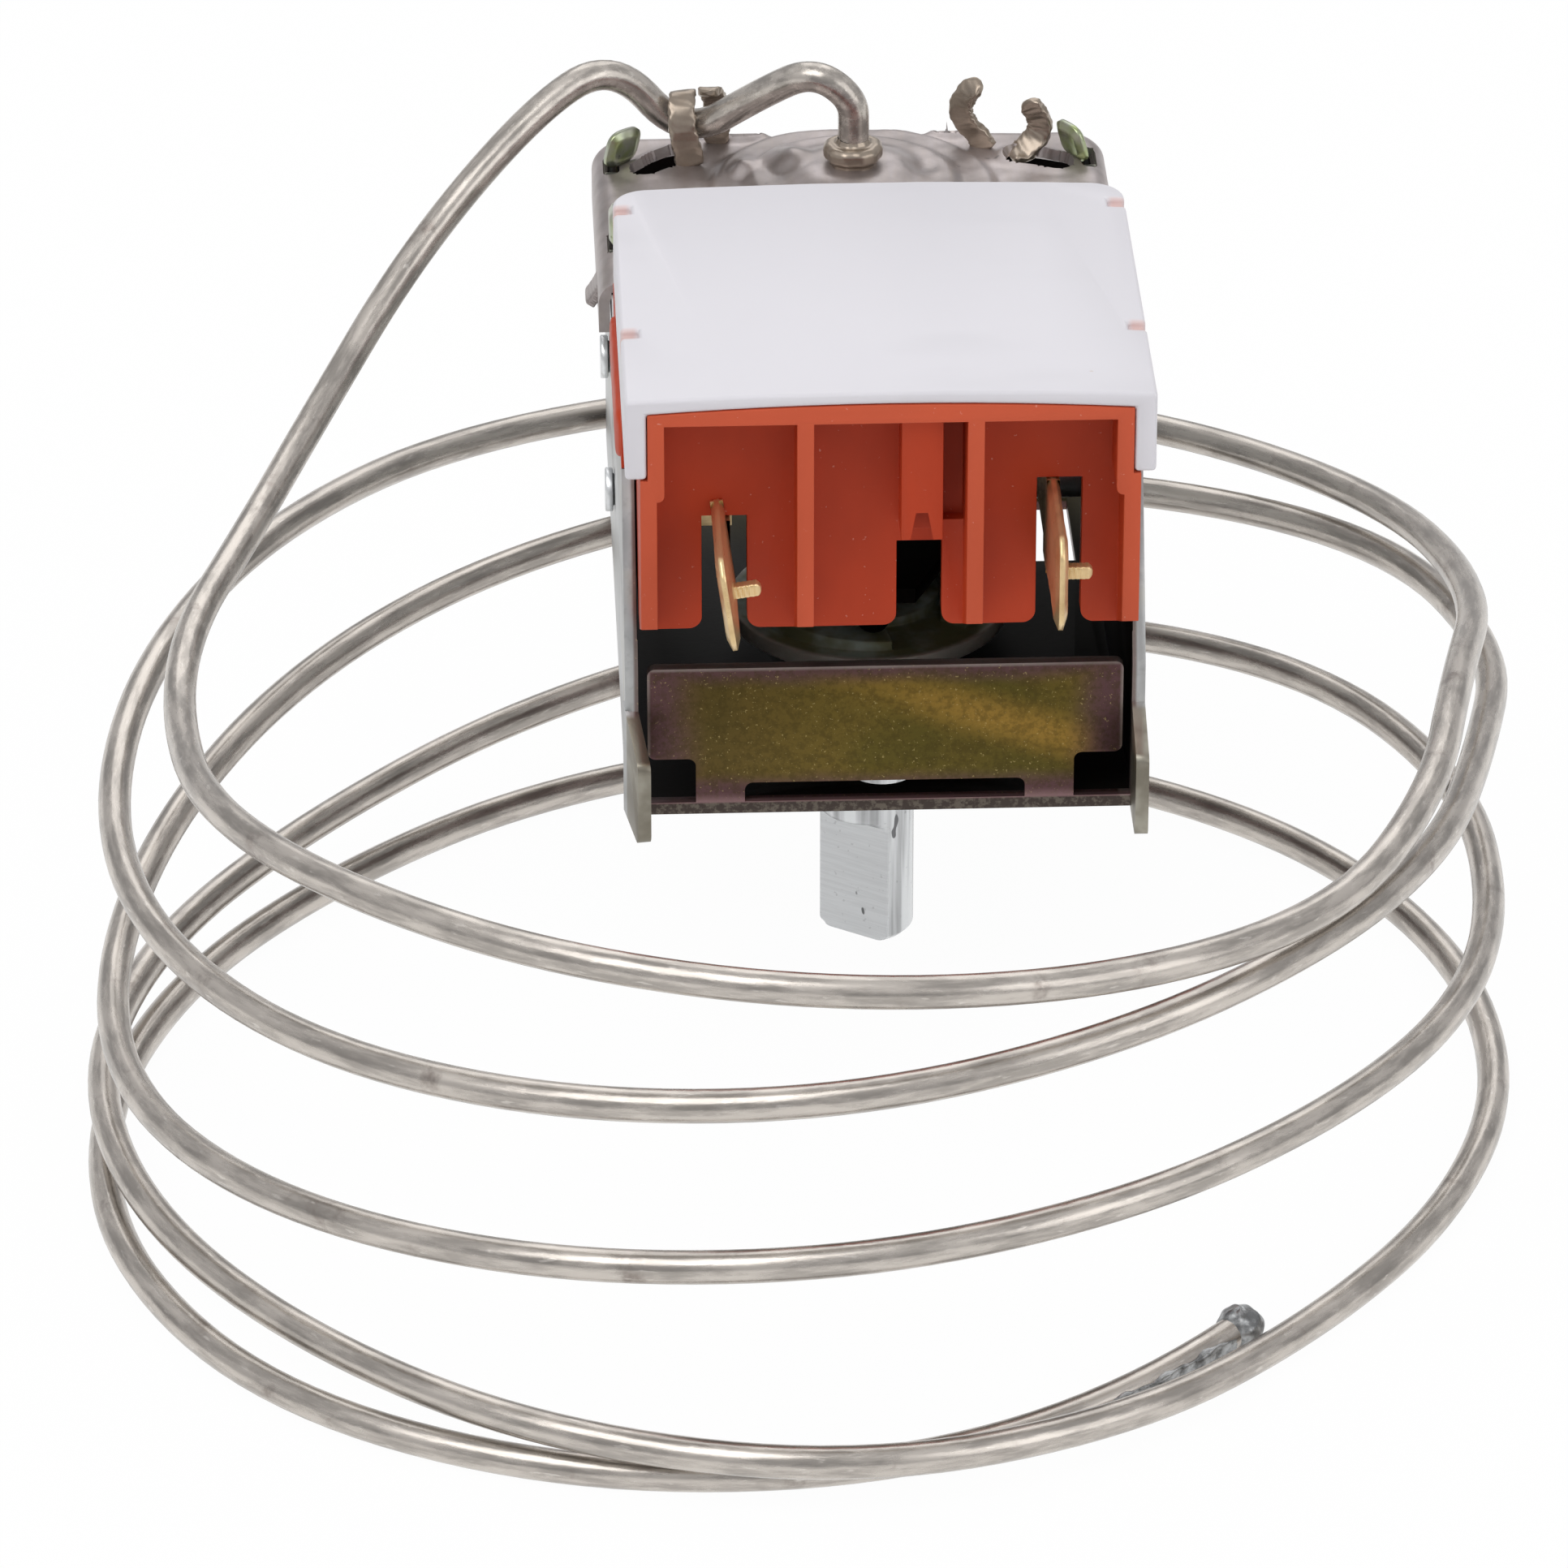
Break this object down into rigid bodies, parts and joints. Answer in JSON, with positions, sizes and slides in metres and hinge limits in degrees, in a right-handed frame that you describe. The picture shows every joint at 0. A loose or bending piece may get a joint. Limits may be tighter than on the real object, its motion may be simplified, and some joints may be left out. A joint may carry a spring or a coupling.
{
  "type": "capillary thermostat",
  "caption": "Box-bracket capillary thermostat with a knob spindle, cup-held vapour element, moulded switch block with blade terminals and a coiled capillary tube.",
  "frame": {"origin": "spindle axis in the outer face of the mounting plate, midway between the two fixing holes", "axes": "+Z from the mounting plate up into the body, so the spindle points down; -Y towards the blade terminals; +X to the right seen from the terminals"},
  "size_m": [0.0892, 0.1089, 0.0509],
  "materials": {
    "passivated_steel": "satin, yellow-olive passivated zinc",
    "green_steel": "satin, greenish passivated zinc",
    "zinc_steel": "satin turned",
    "spring_steel": "satin",
    "tinned_sheet": "dull grey",
    "tinned_copper": "dull drawn tube",
    "solder": "satin",
    "brass": "satin",
    "contact_silver": "bright",
    "red_thermoset": "moulded, slightly glossy",
    "white_thermoset": "moulded",
    "black_thermoset": "moulded"
  },
  "bodies": {
    "root_body": {"bracket": "passivated_steel", "follower_pin": "zinc_steel", "lever_pin": "zinc_steel", "range_spring": "spring_steel", "element_cup": "tinned_sheet", "diaphragm": "tinned_copper", "thrust_button": "black_thermoset", "ferrule": "tinned_copper", "capillary_tube": "tinned_copper", "tube_end_bead": "solder", "terminal_block": "red_thermoset", "block_cover": "white_thermoset", "left_terminal": "brass", "right_terminal": "brass", "fixed_contact": "contact_silver", "contact_arm_pin": "zinc_steel"},
    "spindle_body": {"spindle": "zinc_steel", "cam": "green_steel"},
    "follower_body": {"cam_follower": "passivated_steel", "range_nut": "brass", "range_screw": "brass"},
    "lever_body": {"main_lever": "passivated_steel", "pusher": "black_thermoset"},
    "contact_body": {"contact_arm": "brass", "moving_contact": "contact_silver"}
  },
  "joints": [
    {"name": "spindle_turn", "type": "hinge", "parent": "root_body", "child": "spindle_body", "pos_m": [0, 0, 0], "axis": [0, 0, 1], "range_deg": [0, 300]},
    {"name": "follower_tilt", "type": "hinge", "parent": "root_body", "child": "follower_body", "pos_m": [0, 0.004, 0.0095], "axis": [1, 0, 0], "range_deg": [-8.7, 0.1], "deforming": ["range_spring"]},
    {"name": "lever_tilt", "type": "hinge", "parent": "root_body", "child": "lever_body", "pos_m": [0, 0.0158, 0.0132], "axis": [1, 0, 0], "range_deg": [-3, 0]},
    {"name": "contact_tilt", "type": "hinge", "parent": "root_body", "child": "contact_body", "pos_m": [-0.0102, -0.012, 0.0184], "axis": [0, 1, 0], "range_deg": [-7.3, 0]}
  ],
  "couplings": [
    {"joint": "follower_tilt", "follows": "spindle_turn", "ratio": -0.0287},
    {"joint": "contact_tilt", "follows": "lever_tilt", "ratio": 2.4}
  ]
}
